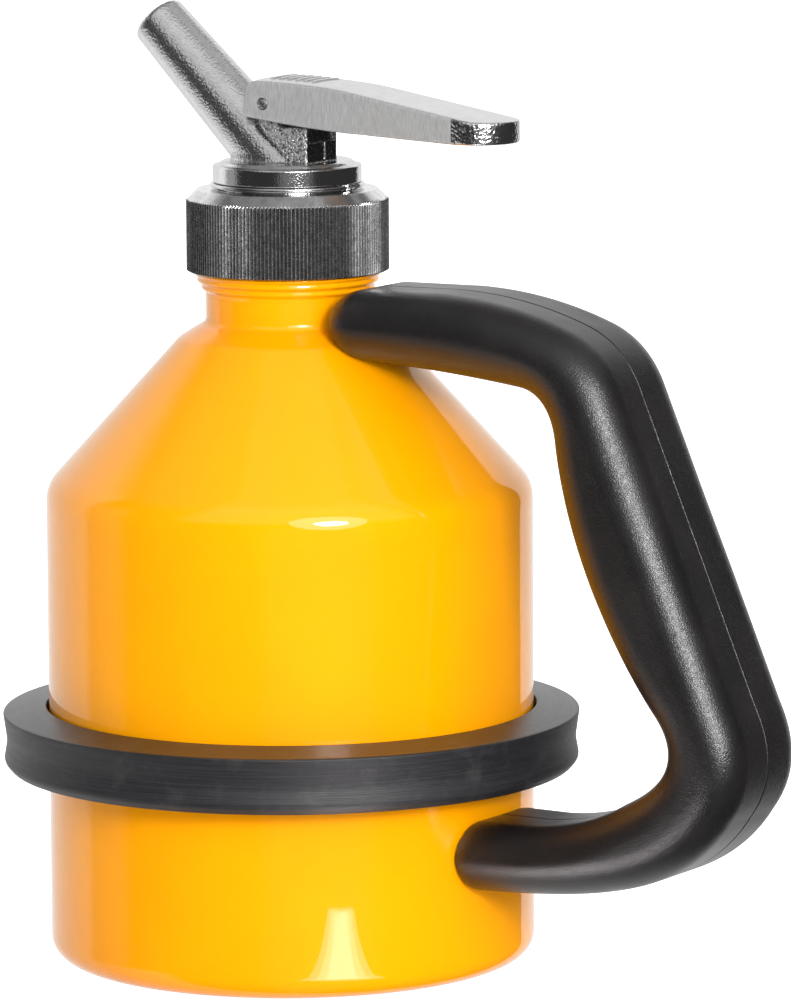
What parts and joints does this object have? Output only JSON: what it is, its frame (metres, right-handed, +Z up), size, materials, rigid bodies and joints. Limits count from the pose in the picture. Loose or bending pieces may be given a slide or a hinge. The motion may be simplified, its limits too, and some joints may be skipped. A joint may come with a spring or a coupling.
{
  "type": "safety gas can",
  "caption": "Safety can for flammable liquids: self-closing lever tap, screw-down union nut, flame arrester, rubber bumper ring and moulded side handle.",
  "frame": {"origin": "centre of the flat base, on the can's axis", "axes": "+Z up along the can's axis; +X towards the handle and the lever's tip, -X towards the spout; the mirror plane is y = 0"},
  "size_m": [0.1836, 0.127, 0.21],
  "materials": {
    "body_paint": "glossy yellow powder coat on steel sheet",
    "bumper_rubber": "satin black moulded rubber",
    "handle_plastic": "black moulded plastic with a fine leather grain",
    "tap_casting": "bright plated casting, peened on the spout and polished on the disc",
    "lever_casting": "satin casting with fine upright grind lines and a polished tip",
    "nut_nickel": "dark nickel plate, straight knurl with a bright chamfer",
    "ring_plated": "bright plated spring steel",
    "plain_steel": "plain steel",
    "arrester_mesh": "woven stainless gauze",
    "white_seal": "white fluoropolymer",
    "black_seal": "black elastomer"
  },
  "bodies": {
    "can": {"lower_shell": "body_paint", "upper_shell": "body_paint", "neck_collar": "body_paint", "bumper_ring": "bumper_rubber", "handle_rod": "plain_steel", "upper_handle_pad": "plain_steel", "lower_handle_pad": "plain_steel", "handle_left_half": "handle_plastic", "handle_right_half": "handle_plastic"},
    "tap": {"tap_body": "tap_casting", "snap_ring": "ring_plated", "neck_gasket": "black_seal", "valve_seat": "white_seal", "stem_seal": "black_seal", "gland_bush": "white_seal", "valve_spring": "plain_steel", "arrester_cage": "plain_steel", "arrester_gauze": "arrester_mesh", "arrester_end_cap": "plain_steel"},
    "nut": {"union_nut": "nut_nickel"},
    "lever": {"lever": "lever_casting", "lever_pin": "plain_steel"},
    "valve": {"valve_stem": "plain_steel", "valve_plate": "plain_steel", "plate_seal": "black_seal", "plate_nut": "plain_steel"}
  },
  "joints": [
    {"name": "tap_lift", "type": "slide", "parent": "can", "child": "tap", "axis": [0, 0, 1], "range_m": [0, 0.0105]},
    {"name": "nut_turn", "type": "hinge", "parent": "tap", "child": "nut", "pos_m": [0, 0, 0.161], "axis": [0, 0, 1], "range_deg": [0, 2520]},
    {"name": "lever_press", "type": "hinge", "parent": "tap", "child": "lever", "pos_m": [-0.001, 0, 0.189], "axis": [0, 1, 0], "range_deg": [0, 12], "stiffness_Nm_per_rad": 1, "springref_deg": -17.19},
    {"name": "valve_push", "type": "slide", "parent": "tap", "child": "valve", "axis": [0, 0, -1], "range_m": [0, 0.0013], "deforming": ["valve_spring"]}
  ],
  "couplings": [
    {"joint": "nut_turn", "follows": "tap_lift", "rad_per_m": 4188.8},
    {"joint": "valve_push", "follows": "lever_press", "m_per_rad": 0.0056}
  ]
}
